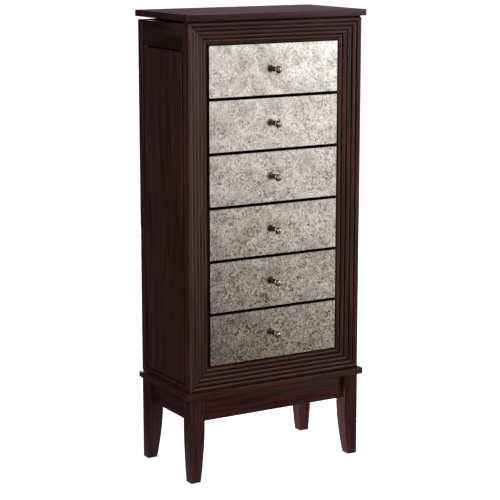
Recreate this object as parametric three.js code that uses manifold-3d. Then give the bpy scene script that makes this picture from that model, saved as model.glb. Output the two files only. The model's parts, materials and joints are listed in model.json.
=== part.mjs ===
// A free-standing jewellery chest: six drawers with antiqued mirror fronts inside a
// stepped, reeded picture frame, a lift-up lid over a shallow tray, a necklace cupboard
// behind a pivoting door on each side, and a four-legged stand.
// Millimetres, +Z up. The front faces -Y. The origin is the centre of the bounding box's base.

import * as THREE from "three";
import { mergeVertices } from "three/addons/utils/BufferGeometryUtils.js";
import Module from "manifold-3d";

const wasm = await Module();
wasm.setup();

// ---------------------------------------------------------------- driving dimensions

const GAP = 0.3; // glue line between neighbouring pieces

const HEIGHT = 1016;
const WIDTH = 434; // of the casing, side face to side face
const DEPTH = 230; // of the casing, front of the frame to the rear face

const LID = { thick: 14, overhang: 8, corner: 5, ease: 2 };
const PLINTH = { thick: 14, overhang: 9.5, corner: 4, ease: 3 };
const LEG = { height: 190, top: 35, foot: 24, taperTop: 130, taperPull: 75 };
const APRON = { height: 54.5, thick: 16, setback: 8 };

const FRAME = { width: 52.8, endWidth: 47, thick: 24, beads: 5, step: 3.5, crown: 2 };
const LIP = { width: 2.8, setback: 17.5 }; // a narrow recessed edge inside the beads
const FRAME_LID_GAP = 3.8;
const CARCASS = { board: 12, inner: 8, floor: 12, trayFloor: 9, back: 5 };
const POST = { front: 16, rear: 20 };
const LID_CLEARANCE = 6.5; // the tray's sides and rear stop this far below the lid

const DRAWERS = 6;
const FRONT = { side: 2.7, top: 2.2, bottom: 3.6, between: 5.4, glass: 3, setback: 12 };
const BOX = { wall: 7.5, bottom: 5, play: 3.5, below: 8, above: 14, rear: 214 };
const RUNNER = { height: 8, reach: 10 };
const KNOB_LENGTH = 23.2; // the knobs reach further forward than the plinth

const DOOR = { play: 1.5, frontGap: 7, endPlay: 3, chamfer: 2 };
const PIVOT = { radius: 2.5, depth: 8, collar: 5, play: 0.3 };
const PEG_RAIL = { length: 132, height: 12, thick: 3, top: 908, pegs: 6, peg: 15, lean: 18 };
const CATCH = { length: 34, width: 12, height: 11, fromFront: 44 };

const HINGE = { spacing: 290, width: 50, leaf: 13, plate: 1.6, barrel: 2.9, pin: 1.5, out: 1.5 };
const LID_MIRROR = { width: 350, depth: 160, thick: 3, pocket: 3.6 };
const RING_PAD = { height: 30, rolls: 9, groove: 7 };

// ---------------------------------------------------------------- derived places
// Y is counted from the front of the casing here; the whole chest is centred at the end.

const halfWidth = WIDTH / 2;
const lidBottom = HEIGHT - LID.thick;
const plinthTop = LEG.height + PLINTH.thick;
const floorTop = plinthTop + CARCASS.floor;
const trayTop = lidBottom - LID_CLEARANCE;

const frameTop = lidBottom - FRAME_LID_GAP;
const frameBottom = plinthTop + GAP;
const openingHalf = halfWidth - FRAME.width;
const openingTop = frameTop - FRAME.endWidth;
const openingBottom = frameBottom + FRAME.endWidth;

const behindFrame = FRAME.thick + GAP;
const trayFloorTop = openingTop - 2;
const trayFloorBottom = trayFloorTop - CARCASS.trayFloor;
const insideHalf = halfWidth - CARCASS.board - GAP;

const frontHalf = openingHalf - FRONT.side;
const frontsTop = openingTop - FRONT.top;
const frontsBottom = openingBottom + FRONT.bottom;
const frontHeight = (frontsTop - frontsBottom - (DRAWERS - 1) * FRONT.between) / DRAWERS;
const drawerPitch = frontHeight + FRONT.between;

const boxHalf = openingHalf - 3 - BOX.play;
const partitionInner = boxHalf + BOX.play;
const partitionOuter = partitionInner + CARCASS.inner;

const doorThick = CARCASS.board;
const doorRadius = doorThick / 2;
const doorAxisY = DEPTH - POST.rear - DOOR.play - doorRadius;
const doorReach = doorAxisY - FRAME.thick - DOOR.frontGap;
const doorBottom = floorTop + DOOR.endPlay;
const doorTop = trayFloorBottom - DOOR.endPlay;

const hingeAxis = { y: DEPTH + HINGE.out, z: trayTop + LID_CLEARANCE / 2 };
const rearmost = hingeAxis.y + HINGE.barrel;
const foremost = FRONT.setback - GAP - KNOB_LENGTH;

// ---------------------------------------------------------------- materials

const espresso = new THREE.MeshStandardMaterial({ color: 0x3a1c1e, roughness: 0.4 });
const innerWood = new THREE.MeshStandardMaterial({ color: 0x2c1a1a, roughness: 0.6 });
const hardboard = new THREE.MeshStandardMaterial({ color: 0x3b2a22, roughness: 0.8 });
const antiqueMirror = new THREE.MeshStandardMaterial({
  color: 0xb4aea6,
  roughness: 0.2,
  metalness: 0.9,
});
const mirror = new THREE.MeshStandardMaterial({ color: 0xdfe3e4, roughness: 0.03, metalness: 1 });
const pewter = new THREE.MeshStandardMaterial({ color: 0x8d8473, roughness: 0.3, metalness: 1 });
const steel = new THREE.MeshStandardMaterial({ color: 0xb9bab8, roughness: 0.35, metalness: 1 });
const plastic = new THREE.MeshStandardMaterial({ color: 0x241512, roughness: 0.5 });
const velvet = new THREE.MeshStandardMaterial({ color: 0x1c1718, roughness: 0.95 });

// ---------------------------------------------------------------- helpers

// A mesh at a place, added to its group.
function place(group, name, geometry, material, x = 0, y = 0, z = 0) {
  const mesh = new THREE.Mesh(geometry, material);
  mesh.name = name;
  mesh.position.set(x, y, z);
  group.add(mesh);
  return mesh;
}

// A box geometry between two corners.
function boxBetween([x0, y0, z0], [x1, y1, z1]) {
  const box = new THREE.BoxGeometry(x1 - x0, y1 - y0, z1 - z0);
  return box.translate((x0 + x1) / 2, (y0 + y1) / 2, (z0 + z1) / 2);
}

// A rectangular board between two corners, placed by its centre.
function board(group, name, material, [x0, y0, z0], [x1, y1, z1]) {
  const box = new THREE.BoxGeometry(x1 - x0, y1 - y0, z1 - z0);
  return place(group, name, box, material, (x0 + x1) / 2, (y0 + y1) / 2, (z0 + z1) / 2);
}

// A cylinder along an axis, centred at the origin.
function rod(radius, length, axis, sides = 16) {
  const cylinder = new THREE.CylinderGeometry(radius, radius, length, sides);
  if (axis === "x") cylinder.rotateZ(Math.PI / 2);
  if (axis === "z") cylinder.rotateX(Math.PI / 2);
  return cylinder;
}

function toSolid(geometry) {
  const bare = geometry.clone();
  bare.deleteAttribute("normal");
  bare.deleteAttribute("uv");
  const merged = mergeVertices(bare, 1e-3);
  const vertProperties = merged.attributes.position.array;
  const triVerts = new Uint32Array(merged.index.array);
  return new wasm.Manifold(new wasm.Mesh({ numProp: 3, vertProperties, triVerts }));
}

function toGeometry(solid) {
  const { vertProperties, triVerts } = solid.getMesh();
  const geometry = new THREE.BufferGeometry();
  geometry.setAttribute("position", new THREE.BufferAttribute(vertProperties, 3));
  geometry.setIndex(new THREE.BufferAttribute(triVerts, 1));
  geometry.computeVertexNormals();
  return geometry;
}

const join = (...shapes) => shapes.map(toSolid).reduce((a, b) => a.add(b));
const joined = (...shapes) => toGeometry(join(...shapes));

// A slab with rounded corners and eased edges, its base at z 0.
function easedSlab([x0, y0], [x1, y1], thick, corner, ease) {
  const c = corner - ease;
  const [left, front, right, rear] = [x0 + ease, y0 + ease, x1 - ease, y1 - ease];
  const outline = new THREE.Shape();
  outline.moveTo(left + c, front);
  outline.lineTo(right - c, front);
  outline.absarc(right - c, front + c, c, -Math.PI / 2, 0);
  outline.lineTo(right, rear - c);
  outline.absarc(right - c, rear - c, c, 0, Math.PI / 2);
  outline.lineTo(left + c, rear);
  outline.absarc(left + c, rear - c, c, Math.PI / 2, Math.PI);
  outline.lineTo(left, front + c);
  outline.absarc(left + c, front + c, c, Math.PI, 1.5 * Math.PI);
  const slab = new THREE.ExtrudeGeometry(outline, {
    depth: thick - 2 * ease,
    bevelThickness: ease,
    bevelSize: ease,
    bevelSegments: 3,
    curveSegments: 3,
  });
  return slab.translate(0, 0, ease);
}

// ---------------------------------------------------------------- stand

// A square leg whose two inner faces sweep inwards to a smaller foot. The outer corner is
// at the origin and the leg stands towards +X and +Y.
function legGeometry() {
  const side = new THREE.Shape();
  side.moveTo(0, 0);
  side.lineTo(LEG.foot, 0);
  side.quadraticCurveTo(LEG.top, LEG.taperPull, LEG.top, LEG.taperTop);
  side.lineTo(LEG.top, LEG.height - GAP);
  side.lineTo(0, LEG.height - GAP);
  const extruded = () =>
    new THREE.ExtrudeGeometry(side, { depth: LEG.top, bevelEnabled: false, curveSegments: 12 });
  const alongY = extruded().rotateX(Math.PI / 2).translate(0, LEG.top, 0);
  const alongX = extruded().rotateX(Math.PI / 2).rotateZ(Math.PI / 2);
  return toGeometry(toSolid(alongY).intersect(toSolid(alongX)));
}

function makeStand() {
  const stand = new THREE.Group();
  const leg = legGeometry();
  const corners = [
    ["leg_front_left", -halfWidth, 0, 0],
    ["leg_front_right", halfWidth, 0, Math.PI / 2],
    ["leg_rear_right", halfWidth, DEPTH, Math.PI],
    ["leg_rear_left", -halfWidth, DEPTH, -Math.PI / 2],
  ];
  for (const [name, x, y, turn] of corners) {
    place(stand, name, leg, espresso, x, y, 0).rotation.z = turn;
  }

  const low = LEG.height - APRON.height;
  const high = LEG.height - GAP;
  const x0 = halfWidth - LEG.top - GAP;
  const y0 = LEG.top + GAP;
  const near = APRON.setback;
  const far = APRON.setback + APRON.thick;
  board(stand, "apron_front", espresso, [-x0, near, low], [x0, far, high]);
  board(stand, "apron_rear", espresso, [-x0, DEPTH - far, low], [x0, DEPTH - near, high]);
  for (const [name, side] of [["apron_left", -1], ["apron_right", 1]]) {
    const edges = [side * (halfWidth - near), side * (halfWidth - far)].sort((a, b) => a - b);
    board(stand, name, espresso, [edges[0], y0, low], [edges[1], DEPTH - y0, high]);
  }

  const reach = halfWidth + PLINTH.overhang;
  const plinth = easedSlab(
    [-reach, -PLINTH.overhang],
    [reach, DEPTH],
    PLINTH.thick,
    PLINTH.corner,
    PLINTH.ease,
  );
  place(stand, "plinth_board", plinth, espresso, 0, 0, LEG.height);
  return stand;
}

// ---------------------------------------------------------------- reeded front frame

// One mitred length of the frame. It runs along X, its inner edge lies on the X axis, its
// width grows towards +Z and its depth towards +Y. Inside the beads is a narrow lip, and
// each bead stands a step in front of the one inside it. At each end the mitre meets a
// length of another width.
function mouldingGeometry(innerHalf, width, nextWidth) {
  const lip = (LIP.width * width) / FRAME.width;
  const pitch = (width - lip) / FRAME.beads;
  const radius = ((pitch / 2) ** 2 + FRAME.crown ** 2) / (2 * FRAME.crown);
  const sweep = Math.asin(pitch / 2 / radius);
  const section = new THREE.Shape();
  section.moveTo(0, FRAME.thick);
  section.lineTo(0, LIP.setback);
  section.lineTo(lip, LIP.setback);
  for (let bead = 0; bead < FRAME.beads; bead++) {
    const crest = (FRAME.beads - 1 - bead) * FRAME.step;
    section.lineTo(lip + bead * pitch, crest + FRAME.crown);
    const centre = [lip + (bead + 0.5) * pitch, crest + radius];
    section.absarc(...centre, radius, -Math.PI / 2 - sweep, -Math.PI / 2 + sweep);
  }
  section.lineTo(width, FRAME.thick);
  const length = new THREE.ExtrudeGeometry(section, {
    depth: 1,
    bevelEnabled: false,
    curveSegments: 6,
  });
  // The section's (width, depth) become Z and Y, and each end is cut to the mitre.
  const points = length.getAttribute("position");
  const slope = nextWidth / width;
  for (let i = 0; i < points.count; i++) {
    const [across, deep] = [points.getX(i), points.getY(i)];
    const end = points.getZ(i) > 0.5 ? -1 : 1;
    points.setXYZ(i, end * (innerHalf + across * slope - 0.2), deep, across);
  }
  return toGeometry(toSolid(length));
}

function makeFrontFrame() {
  const frame = new THREE.Group();
  const middle = (openingTop + openingBottom) / 2;
  const openingHalfHeight = (openingTop - openingBottom) / 2;
  const flat = mouldingGeometry(openingHalf, FRAME.endWidth, FRAME.width);
  const upright = mouldingGeometry(openingHalfHeight, FRAME.width, FRAME.endWidth);
  const sides = [
    ["frame_top", flat, 0, openingTop, 0],
    ["frame_right", upright, openingHalf, middle, Math.PI / 2],
    ["frame_bottom", flat, 0, openingBottom, Math.PI],
    ["frame_left", upright, -openingHalf, middle, -Math.PI / 2],
  ];
  for (const [name, geometry, x, z, turn] of sides) {
    place(frame, name, geometry, espresso, x, 0, z).rotation.y = turn;
  }
  return frame;
}

// ---------------------------------------------------------------- carcass

// An upright board beside the drawers with a wooden runner for each one.
function partitionGeometry() {
  const rear = DEPTH - 1 - CARCASS.back - GAP;
  const parts = [
    boxBetween(
      [partitionInner, behindFrame, floorTop + GAP],
      [partitionOuter, rear, trayFloorBottom - GAP],
    ),
  ];
  for (let i = 0; i < DRAWERS; i++) {
    const top = frontsTop - i * drawerPitch - frontHeight + BOX.below - 0.4;
    parts.push(
      boxBetween(
        [partitionInner - RUNNER.reach, behindFrame + 2, top - RUNNER.height],
        [partitionInner + 1, rear - 2, top],
      ),
    );
  }
  return joined(...parts);
}

// A post, side rail or floor with a blind or through hole for a door pivot.
function drilled(geometry, x, z, length) {
  const hole = rod(PIVOT.radius + PIVOT.play, length, "z").translate(x, doorAxisY, z);
  return toGeometry(toSolid(geometry).subtract(toSolid(hole)));
}

function makeCarcass() {
  const carcass = new THREE.Group();
  const rearRailFront = DEPTH - CARCASS.board;
  const pivotX = halfWidth - doorRadius;

  let floor = boxBetween([-halfWidth, behindFrame, plinthTop + GAP], [halfWidth, DEPTH, floorTop]);
  for (const side of [-1, 1]) floor = drilled(floor, side * pivotX, floorTop, 2 * PIVOT.depth);
  place(carcass, "casing_floor", floor, espresso);

  board(
    carcass,
    "tray_floor",
    innerWood,
    [-insideHalf, behindFrame, trayFloorBottom],
    [insideHalf, rearRailFront - GAP, trayFloorTop],
  );
  board(
    carcass,
    "rear_rail",
    espresso,
    [-insideHalf, rearRailFront, trayFloorBottom],
    [insideHalf, DEPTH, trayTop],
  );
  board(
    carcass,
    "back_panel",
    hardboard,
    [-insideHalf, DEPTH - 1 - CARCASS.back, floorTop + GAP],
    [insideHalf, DEPTH - 1, trayFloorBottom - GAP],
  );

  const rearPost = [DEPTH - POST.rear, DEPTH];
  const partition = partitionGeometry();
  for (const [side, word] of [[-1, "left"], [1, "right"]]) {
    const across = (near, far) => [side * near, side * far].sort((a, b) => a - b);
    const [x0, x1] = across(halfWidth, halfWidth - CARCASS.board);
    // The front post stands inside the door, which closes against it.
    const [p0, p1] = across(insideHalf, insideHalf - POST.front);
    board(
      carcass,
      `front_post_${word}`,
      espresso,
      [p0, behindFrame, floorTop + GAP],
      [p1, behindFrame + POST.front, trayFloorBottom - GAP],
    );
    board(
      carcass,
      `rear_post_${word}`,
      espresso,
      [x0, rearPost[0], floorTop + GAP],
      [x1, rearPost[1], trayTop],
    );
    const rail = boxBetween(
      [x0, behindFrame, trayFloorBottom],
      [x1, rearPost[0] - GAP, trayTop],
    );
    const bored = drilled(rail, side * pivotX, trayFloorBottom, 2 * PIVOT.depth);
    place(carcass, `tray_side_${word}`, bored, espresso);

    const upright = place(carcass, `partition_${word}`, partition, innerWood);
    if (side < 0) upright.scale.x = -1;
  }
  return carcass;
}

// Turned pins with a collar, one above and one below each side door, fixed in the carcass.
function makePivots() {
  const pivots = new THREE.Group();
  const collarHeight = DOOR.endPlay - 0.6;
  const reach = PIVOT.depth - 1;
  const pin = joined(
    rod(PIVOT.radius, collarHeight + 2 * reach, "z"),
    rod(PIVOT.collar, collarHeight, "z", 20),
  );
  for (const [side, word] of [[-1, "left"], [1, "right"]]) {
    const x = side * (halfWidth - doorRadius);
    const ends = [
      ["top", doorTop + DOOR.endPlay / 2],
      ["bottom", doorBottom - DOOR.endPlay / 2],
    ];
    for (const [end, z] of ends) {
      place(pivots, `door_pivot_${word}_${end}`, pin, steel, x, doorAxisY, z);
    }
  }
  return pivots;
}

// ---------------------------------------------------------------- side doors

// The left door, its axis on the Z axis and its outer face towards -X.
function doorGeometry() {
  const plan = new THREE.Shape();
  const front = -doorReach;
  plan.moveTo(-doorRadius + DOOR.chamfer, front);
  plan.lineTo(doorRadius, front);
  plan.lineTo(doorRadius, 0);
  plan.absarc(0, 0, doorRadius, 0, Math.PI);
  plan.lineTo(-doorRadius, front + DOOR.chamfer);
  const height = doorTop - doorBottom;
  const slab = new THREE.ExtrudeGeometry(plan, {
    depth: height,
    bevelEnabled: false,
    curveSegments: 10,
  });
  let solid = toSolid(slab);
  for (const z of [0, height]) {
    const socket = rod(PIVOT.radius + PIVOT.play, 2 * PIVOT.depth, "z").translate(0, 0, z);
    solid = solid.subtract(toSolid(socket));
  }
  return toGeometry(solid);
}

// A metal bar with a row of upward-leaning necklace pegs. Its back lies on the YZ plane and
// its pegs point towards +X.
function pegRailGeometry() {
  const { length, height, thick, pegs, peg, lean } = PEG_RAIL;
  const parts = [boxBetween([0, -length / 2, -height], [thick, length / 2, 0])];
  const spacing = length / pegs;
  for (let i = 0; i < pegs; i++) {
    const stem = rod(1.6, peg, "x", 8).translate(peg / 2, 0, 0);
    const tip = new THREE.SphereGeometry(2.4, 10, 6).translate(peg, 0, 0);
    const y = (i + 0.5) * spacing - length / 2;
    for (const piece of [stem, tip]) {
      piece.rotateY(-THREE.MathUtils.degToRad(lean)).translate(thick / 2, y, -height / 2);
      parts.push(piece);
    }
  }
  return joined(...parts);
}

function makeSideDoors() {
  const doors = new THREE.Group();
  const slab = doorGeometry();
  const rail = pegRailGeometry();
  for (const [side, word] of [[-1, "left"], [1, "right"]]) {
    const door = new THREE.Group();
    door.position.set(side * (halfWidth - doorRadius), doorAxisY, 0);
    door.scale.x = -side;
    place(door, `side_door_${word}`, slab, espresso, 0, 0, doorBottom);
    const middle = (-doorReach + doorRadius) / 2 - 6;
    place(door, `necklace_pegs_${word}`, rail, pewter, doorRadius + GAP, middle, PEG_RAIL.top);
    doors.add(door);
  }
  return doors;
}

// Magnetic catches under the tray floor, which hold the doors' front edges.
function makeCatches() {
  const catches = new THREE.Group();
  const top = trayFloorBottom - GAP;
  const outer = halfWidth - doorThick - 0.5;
  const body = joined(
    boxBetween([outer - CATCH.width, 0, top - CATCH.height], [outer, CATCH.length, top]),
    boxBetween([outer - CATCH.width - 8, 6, top - 2.5], [outer, CATCH.length - 6, top]),
  );
  for (const [side, word] of [[-1, "left"], [1, "right"]]) {
    const mesh = place(catches, `door_catch_${word}`, body, plastic, 0, CATCH.fromFront, 0);
    mesh.scale.x = side;
  }
  return catches;
}

// ---------------------------------------------------------------- drawers

// The wooden drawer: a front board that fills its place in the frame and a box behind it.
// Z 0 is the front board's lower edge.
function drawerBoxGeometry() {
  const boardFront = FRONT.setback + FRONT.glass + GAP;
  const front = boxBetween([-frontHalf, boardFront, 0], [frontHalf, FRAME.thick, frontHeight]);
  const top = frontHeight - BOX.above;
  const outer = boxBetween([-boxHalf, FRAME.thick - 1, BOX.below], [boxHalf, BOX.rear, top]);
  const inner = boxBetween(
    [-boxHalf + BOX.wall, FRAME.thick, BOX.below + BOX.bottom],
    [boxHalf - BOX.wall, BOX.rear - BOX.wall, top + 5],
  );
  return toGeometry(join(front, outer).subtract(toSolid(inner)));
}

// A turned knob whose base lies on the XZ plane and whose head points towards -Y.
function knobGeometry() {
  const profile = [
    [0, 0],
    [5.4, 0],
    [5.4, 1.2],
    [3.6, 2.8],
    [2.8, 5.5],
    [3, 10],
    [4.6, 12.8],
    [7.4, 14.2],
    [8.2, 16],
    [8, 18.2],
    [6.6, 19.5],
    [5.2, 21.7],
    [2.8, 22.9],
    [0, KNOB_LENGTH],
  ].map(([r, h]) => new THREE.Vector2(r, h));
  return new THREE.LatheGeometry(profile, 20).rotateX(Math.PI);
}

function makeDrawers() {
  const drawers = new THREE.Group();
  const box = drawerBoxGeometry();
  const knob = knobGeometry();
  const glassFront = FRONT.setback;
  for (let i = 0; i < DRAWERS; i++) {
    const drawer = new THREE.Group();
    drawer.position.z = frontsTop - i * drawerPitch - frontHeight;
    place(drawer, `drawer_${i + 1}_box`, box, innerWood);
    board(
      drawer,
      `drawer_${i + 1}_mirror`,
      antiqueMirror,
      [-frontHalf, glassFront, 0],
      [frontHalf, glassFront + FRONT.glass, frontHeight],
    );
    place(drawer, `drawer_${i + 1}_knob`, knob, pewter, 0, glassFront - GAP, frontHeight / 2);
    drawers.add(drawer);
  }
  return drawers;
}

// ---------------------------------------------------------------- lid and tray

function lidGeometry() {
  const reach = halfWidth + LID.overhang;
  const slab = easedSlab([-reach, -LID.overhang], [reach, DEPTH], LID.thick, LID.corner, LID.ease);
  const { width, depth, pocket } = LID_MIRROR;
  const middle = DEPTH / 2;
  const recess = boxBetween(
    [-width / 2 - GAP, middle - depth / 2 - GAP, -1],
    [width / 2 + GAP, middle + depth / 2 + GAP, pocket],
  );
  return toGeometry(toSolid(slab).subtract(toSolid(recess)));
}

// Hinge leaves about the X axis, which is the pin's. Both plates lie towards -Y: the casing
// leaf below the pin, with the two outer knuckles, and the lid leaf above it.
function hingeLeaves() {
  const half = HINGE.width / 2;
  const knuckle = HINGE.width / 3;
  const clear = HINGE.barrel + 0.4;
  const offset = LID_CLEARANCE / 2 - GAP;
  const [low, high] = [offset - HINGE.plate, offset];
  const outer = [-1, 1].map((side) => side * knuckle);
  const casing = joined(
    boxBetween([-half, -HINGE.leaf, -high], [half, -clear, -low]),
    rod(HINGE.pin, HINGE.width - 2, "x", 12),
    ...outer.map((x) => rod(HINGE.barrel, knuckle, "x").translate(x, 0, 0)),
    ...outer.map((x) =>
      boxBetween([x - knuckle / 2, -clear - 1, -high], [x + knuckle / 2, 0, -low]),
    ),
  );
  const middle = knuckle / 2 - GAP;
  const lid = join(
    boxBetween([-half, -HINGE.leaf, low], [half, -clear, high]),
    boxBetween([-middle, -clear - 1, low], [middle, 0, high]),
    rod(HINGE.barrel, 2 * middle, "x"),
  ).subtract(toSolid(rod(HINGE.pin + GAP, HINGE.width, "x", 12)));
  return { casing, lid: toGeometry(lid) };
}

// A block of foam rolls that hold rings, its rolls along X and its base at z 0.
function ringPadGeometry(width, depth) {
  const pitch = depth / RING_PAD.rolls;
  const section = new THREE.Shape();
  section.moveTo(0, 0);
  section.lineTo(depth, 0);
  const shoulder = RING_PAD.height - RING_PAD.groove;
  const radius = ((pitch / 2) ** 2 + RING_PAD.groove ** 2) / (2 * RING_PAD.groove);
  const sweep = Math.asin(pitch / 2 / radius);
  for (let roll = RING_PAD.rolls - 1; roll >= 0; roll--) {
    section.lineTo((roll + 1) * pitch, shoulder);
    const centre = [(roll + 0.5) * pitch, RING_PAD.height - radius];
    section.absarc(...centre, radius, Math.PI / 2 - sweep, Math.PI / 2 + sweep);
  }
  const pad = new THREE.ExtrudeGeometry(section, {
    depth: width,
    bevelEnabled: false,
    curveSegments: 5,
  });
  return pad.rotateX(Math.PI / 2).rotateZ(Math.PI / 2);
}

function makeLidAndTray() {
  const group = new THREE.Group();
  place(group, "lid", lidGeometry(), espresso, 0, 0, lidBottom);
  const { width, depth, thick } = LID_MIRROR;
  const middle = DEPTH / 2;
  board(
    group,
    "lid_mirror",
    mirror,
    [-width / 2, middle - depth / 2, lidBottom + GAP],
    [width / 2, middle + depth / 2, lidBottom + GAP + thick],
  );

  const leaves = hingeLeaves();
  for (const [side, word] of [[-1, "left"], [1, "right"]]) {
    const at = [(side * HINGE.spacing) / 2, hingeAxis.y, hingeAxis.z];
    place(group, `lid_hinge_${word}_casing_leaf`, leaves.casing, steel, ...at);
    place(group, `lid_hinge_${word}_lid_leaf`, leaves.lid, steel, ...at);
  }

  const padWidth = insideHalf - 4;
  const padDepth = DEPTH - CARCASS.board - behindFrame - 3;
  const pad = ringPadGeometry(padWidth, padDepth);
  place(group, "ring_cushion", pad, velvet, -insideHalf + 1.5, behindFrame + 1.5, trayFloorTop + GAP);
  return group;
}

// ---------------------------------------------------------------- the chest

const chest = new THREE.Group();
chest.add(makeStand());
chest.add(makeFrontFrame());
chest.add(makeCarcass());
chest.add(makePivots());
chest.add(makeSideDoors());
chest.add(makeCatches());
chest.add(makeDrawers());
chest.add(makeLidAndTray());
chest.position.y = -(rearmost + foremost) / 2;

const part = new THREE.Group();
part.add(chest);

export default part;
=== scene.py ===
"""A free-standing jewellery chest with antiqued mirror drawer fronts in a reeded frame.

Metres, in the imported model's own frame: +Z up, the drawers face -Y.
"""

import json
import math

import bmesh
import bpy
from mathutils import Matrix, Vector, noise


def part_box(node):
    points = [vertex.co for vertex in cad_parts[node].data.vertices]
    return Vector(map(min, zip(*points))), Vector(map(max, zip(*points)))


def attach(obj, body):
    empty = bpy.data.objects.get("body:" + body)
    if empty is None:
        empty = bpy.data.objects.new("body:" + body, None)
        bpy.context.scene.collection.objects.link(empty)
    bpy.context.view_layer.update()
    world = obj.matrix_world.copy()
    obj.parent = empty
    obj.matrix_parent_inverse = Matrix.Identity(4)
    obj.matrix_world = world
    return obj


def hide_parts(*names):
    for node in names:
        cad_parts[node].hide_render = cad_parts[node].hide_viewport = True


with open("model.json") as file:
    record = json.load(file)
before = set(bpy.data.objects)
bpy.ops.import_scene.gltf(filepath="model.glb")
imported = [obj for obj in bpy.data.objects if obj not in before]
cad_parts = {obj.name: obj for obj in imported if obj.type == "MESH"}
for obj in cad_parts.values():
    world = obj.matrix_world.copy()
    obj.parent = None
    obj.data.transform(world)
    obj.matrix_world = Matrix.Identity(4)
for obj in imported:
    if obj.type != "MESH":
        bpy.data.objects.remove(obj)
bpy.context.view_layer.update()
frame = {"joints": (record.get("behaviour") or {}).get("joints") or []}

MM = 0.001
SIDES = (("left", -1), ("right", 1))
DRAWERS = range(1, 7)
X, Y, Z = 0, 1, 2

# ---------------------------------------------------------------- materials


def add(tree, kind, inputs=None, **settings):
    """A node with its settings, its input values, and its links where a value is a socket."""
    node = tree.nodes.new(kind)
    for key, value in settings.items():
        setattr(node, key, value)
    for key, value in (inputs or {}).items():
        if isinstance(value, bpy.types.NodeSocket):
            tree.links.new(value, node.inputs[key])
        else:
            node.inputs[key].default_value = value
    return node


def object_coordinates(tree, scale=(1, 1, 1)):
    place = add(tree, "ShaderNodeTexCoord").outputs["Object"]
    return add(tree, "ShaderNodeMapping", {"Vector": place, "Scale": scale}).outputs["Vector"]


def calculate(tree, operation, a, b=0.0):
    """A sum, product or sine; a and b are sockets or numbers."""
    return add(tree, "ShaderNodeMath", {0: a, 1: b}, operation=operation).outputs[0]


def noise_at(tree, vector, scale, detail=4.0, roughness=0.5, distortion=0.0):
    values = {
        "Vector": vector,
        "Scale": scale,
        "Detail": detail,
        "Roughness": roughness,
        "Distortion": distortion,
    }
    return add(tree, "ShaderNodeTexNoise", values).outputs["Fac"]


def ramp(tree, factor, *stops):
    """A colour ramp; each stop is (position, grey or colour)."""
    node = add(tree, "ShaderNodeValToRGB", {"Fac": factor})
    elements = node.color_ramp.elements
    while len(elements) < len(stops):
        elements.new(0.5)
    for element, (position, colour) in zip(elements, stops):
        element.position = position
        element.color = (*colour, 1) if isinstance(colour, tuple) else (colour,) * 3 + (1,)
    return node.outputs["Color"]


def blend_colours(tree, factor, a, b, mode="MIX"):
    node = add(tree, "ShaderNodeMix", data_type="RGBA", blend_type=mode)
    for socket, value in ((node.inputs[0], factor), (node.inputs[6], a), (node.inputs[7], b)):
        if isinstance(value, bpy.types.NodeSocket):
            tree.links.new(value, socket)
        else:
            socket.default_value = (*value, 1) if isinstance(value, tuple) else value
    return node.outputs[2]


def between(tree, factor, low, high):
    """The factor, from 0 to 1, as a value from low to high."""
    values = {"Value": factor, "To Min": low, "To Max": high}
    return add(tree, "ShaderNodeMapRange", values).outputs["Result"]


def bump(tree, *layers):
    """Bump from (height, distance) layers, the coarsest first."""
    normal = None
    for height, distance in layers:
        values = {"Height": height, "Distance": distance, "Strength": 1.0}
        if normal:
            values["Normal"] = normal
        normal = add(tree, "ShaderNodeBump", values).outputs["Normal"]
    return normal


def new_material(name, sockets):
    """A principled material and its tree; sockets holds its constant values."""
    material = bpy.data.materials.new(name)
    material.use_nodes = True
    shader = material.node_tree.nodes["Principled BSDF"]
    for key, value in sockets.items():
        shader.inputs[key].default_value = value
    return material, material.node_tree, shader


def connect(tree, shader, **links):
    for key, socket in links.items():
        tree.links.new(socket, shader.inputs[key.replace("_", " ")])


def wood(name, grain, dark, light, roughness, gloss):
    """Stained wood with its grain along one axis."""
    sockets = {"Specular IOR Level": gloss}
    material, tree, shader = new_material(name, sockets)
    stretch, finer = [1.0, 1.0, 1.0], [1.0, 1.0, 1.0]
    stretch[grain], finer[grain] = 0.06, 0.03
    along = object_coordinates(tree, stretch)
    figure = noise_at(tree, along, 75, 5, 0.62, 0.8)
    pores = noise_at(tree, object_coordinates(tree, finer), 380, 3, 0.6)
    stain = noise_at(tree, object_coordinates(tree), 7, 3)
    body = ramp(tree, figure, (0.34, dark), (0.66, light))
    body = blend_colours(tree, between(tree, stain, 0.0, 0.5), body, dark)
    pore_shade = ramp(tree, pores, (0.36, 0.42), (0.5, 1.0))
    body = blend_colours(tree, 1.0, body, pore_shade, "MULTIPLY")
    rough = between(tree, figure, roughness - 0.05, roughness + 0.08)
    normal = bump(tree, (figure, 0.15 * MM), (pores, 0.05 * MM))
    connect(tree, shader, Base_Color=body, Roughness=rough, Normal=normal)
    return material


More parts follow.
